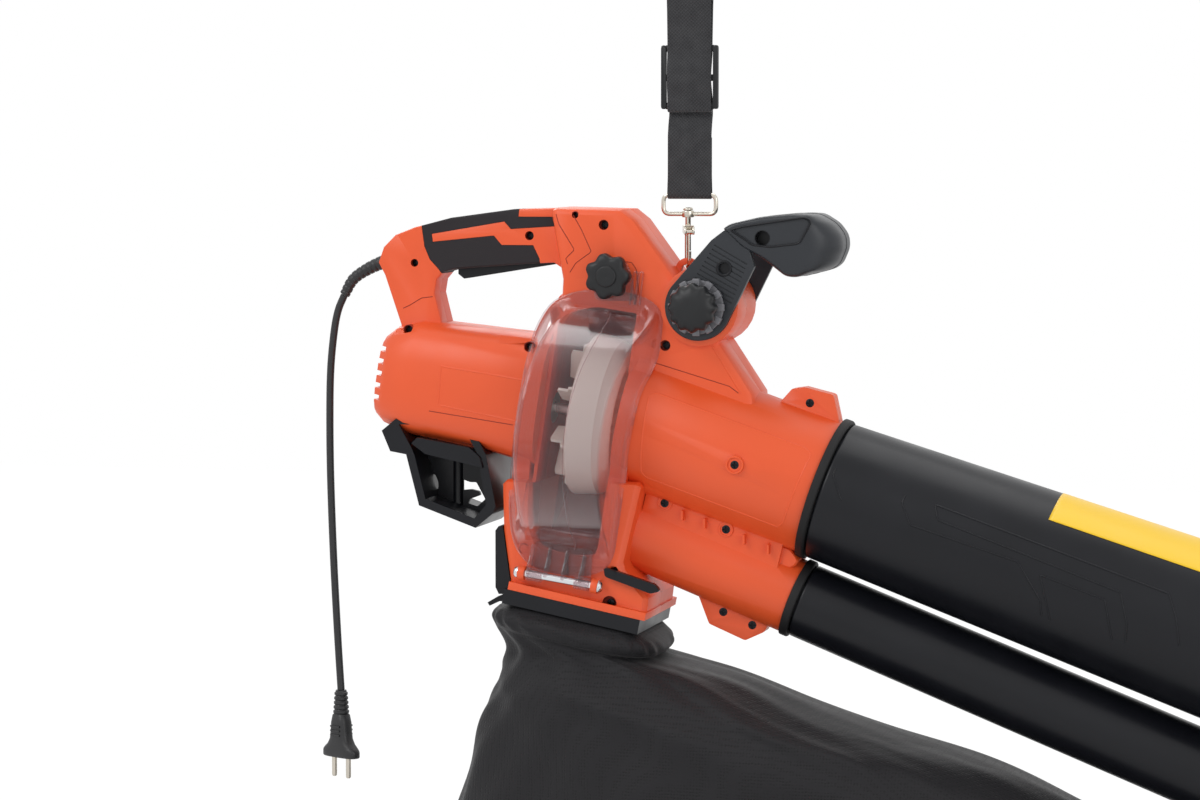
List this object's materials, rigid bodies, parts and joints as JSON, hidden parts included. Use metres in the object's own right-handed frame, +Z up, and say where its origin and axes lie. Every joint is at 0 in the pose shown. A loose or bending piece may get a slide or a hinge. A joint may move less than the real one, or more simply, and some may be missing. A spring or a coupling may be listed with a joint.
{
  "type": "electric leaf blower and vacuum",
  "caption": "Hand-held electric leaf blower and vacuum with a clear fan cover, two long tubes, a collection bag, an adjustable front handle and a shoulder strap.",
  "frame": {"origin": "centre of the eye on top of the housing that the shoulder strap's hook goes through", "axes": "+X towards the nozzles, +Y away from the side with the clear fan cover, +Z up while the machine hangs from its strap"},
  "size_m": [1.2592, 0.24, 1.2188],
  "materials": {
    "orange_abs": "satin moulded ABS, fine texture",
    "black_pp": "satin moulded polypropylene",
    "black_nylon": "satin moulded nylon",
    "soft_grip": "matt soft overmould",
    "clear_pc": "clear polished polycarbonate",
    "steel": "ground steel",
    "chrome": "bright chrome plate",
    "nickel": "bright nickel plate",
    "black_screw": "black oxide",
    "copper": "turned copper",
    "brass": "stamped brass",
    "laminations": "varnished laminations",
    "white_nylon": "moulded natural nylon",
    "rubber": "matt rubber",
    "pvc": "satin flexible PVC",
    "webbing": "woven polypropylene webbing",
    "bag_cloth": "black non-woven cloth"
  },
  "bodies": {
    "housing": {"housing_right": "orange_abs", "housing_left": "orange_abs", "handle_grip": "soft_grip", "trigger_pin": "steel", "switch_module": "black_nylon", "cord_sleeve": "pvc", "mains_cord": "pvc", "plug_body": "pvc", "plug_pin_1": "nickel", "plug_pin_2": "nickel", "motor_stator": "laminations", "rear_bearing": "steel", "front_bearing": "steel", "brush_holder_top": "brass", "brush_holder_bottom": "brass", "cover_hinge_pin": "chrome", "handle_bolt": "steel", "index_ring": "black_nylon", "suction_seal": "rubber", "blow_seal": "rubber", "suction_tube_upper": "black_pp", "suction_tube_lower": "black_pp", "blow_tube_upper": "black_pp", "blow_tube_lower": "black_pp", "wheel_bracket": "black_pp", "screw_upper_tab": "black_screw", "screw_suction": "black_screw", "screw_web_rear": "black_screw", "screw_web_front": "black_screw", "screw_lower_tab_rear": "black_screw", "screw_lower_tab_front": "black_screw", "bag_collar": "black_pp", "collection_bag": "bag_cloth", "bag_strap": "webbing", "cord_holder": "black_pp"},
    "trigger": {"trigger": "black_nylon"},
    "cover": {"clear_cover": "clear_pc"},
    "cover_knob": {"cover_knob": "black_nylon"},
    "front_handle": {"front_handle_right": "black_pp", "front_handle_left": "black_pp"},
    "front_knob": {"front_knob": "black_nylon"},
    "rotor": {"motor_shaft": "steel", "armature": "laminations", "commutator": "copper", "cooling_fan": "black_nylon", "impeller": "white_nylon", "impeller_nut": "steel"},
    "diverter": {"diverter": "black_pp"},
    "bag_latch": {"bag_latch": "black_pp"},
    "wheel_right": {"wheel_right": "rubber"},
    "wheel_left": {"wheel_left": "rubber"},
    "snap_hook": {"snap_hook": "nickel"},
    "hook_gate": {"hook_gate": "nickel"},
    "strap_ring": {"strap_ring": "nickel"},
    "strap": {"strap_webbing": "webbing", "strap_slider": "black_nylon"}
  },
  "joints": [
    {"name": "trigger_squeeze", "type": "hinge", "parent": "housing", "child": "trigger", "pos_m": [-0.119, 0, 0.01], "axis": [0, 1, 0], "range_deg": [0, 6], "stiffness_Nm_per_rad": 0.8, "springref_deg": -2.86},
    {"name": "cover_hinge", "type": "hinge", "parent": "housing", "child": "cover", "pos_m": [-0.10331, -0.062, -0.27371], "axis": [0.989, 0, -0.1478], "range_deg": [0, 100]},
    {"name": "cover_knob_turn", "type": "hinge", "parent": "cover", "child": "cover_knob", "pos_m": [-0.061, 0, -0.0045], "axis": [0, 1, 0], "continuous": true},
    {"name": "front_handle_tilt", "type": "hinge", "parent": "housing", "child": "front_handle", "pos_m": [0.019, 0, -0.031], "axis": [0, 1, 0], "range_deg": [-8, 35]},
    {"name": "front_knob_turn", "type": "hinge", "parent": "housing", "child": "front_knob", "pos_m": [0.019, 0, -0.031], "axis": [0, 1, 0], "continuous": true},
    {"name": "impeller_spin", "type": "hinge", "parent": "housing", "child": "rotor", "pos_m": [-0.084, 0, -0.131], "axis": [0.989, 0, -0.1478], "continuous": true},
    {"name": "diverter_swing", "type": "hinge", "parent": "housing", "child": "diverter", "pos_m": [-0.055, 0, -0.266], "axis": [0, -1, 0], "range_deg": [0, 75]},
    {"name": "bag_latch_press", "type": "hinge", "parent": "housing", "child": "bag_latch", "pos_m": [-0.1615, 0, -0.2975], "axis": [0, 1, 0], "range_deg": [0, 20], "stiffness_Nm_per_rad": 0.3, "springref_deg": -5.73},
    {"name": "wheel_right_roll", "type": "hinge", "parent": "housing", "child": "wheel_right", "pos_m": [0.66668, 0, -0.59329], "axis": [0, 1, 0], "continuous": true},
    {"name": "wheel_left_roll", "type": "hinge", "parent": "housing", "child": "wheel_left", "pos_m": [0.66668, 0, -0.59329], "axis": [0, 1, 0], "continuous": true},
    {"name": "hook_swing", "type": "hinge", "parent": "housing", "child": "snap_hook", "pos_m": [0, 0, 0], "axis": [0, 1, 0], "range_deg": [-12, 12]},
    {"name": "hook_gate_press", "type": "hinge", "parent": "snap_hook", "child": "hook_gate", "pos_m": [0.00291, -0.00799, 0.034], "axis": [0.9397, 0.342, 0], "range_deg": [0, 25], "stiffness_Nm_per_rad": 0.02, "springref_deg": -5.73},
    {"name": "ring_swivel", "type": "hinge", "parent": "snap_hook", "child": "strap_ring", "pos_m": [0, 0, 0.05], "axis": [0, 0, 1], "continuous": true},
    {"name": "strap_swing", "type": "hinge", "parent": "strap_ring", "child": "strap", "pos_m": [0.0015, 0, 0.067], "axis": [1, 0, 0], "range_deg": [-30, 30]}
  ]
}
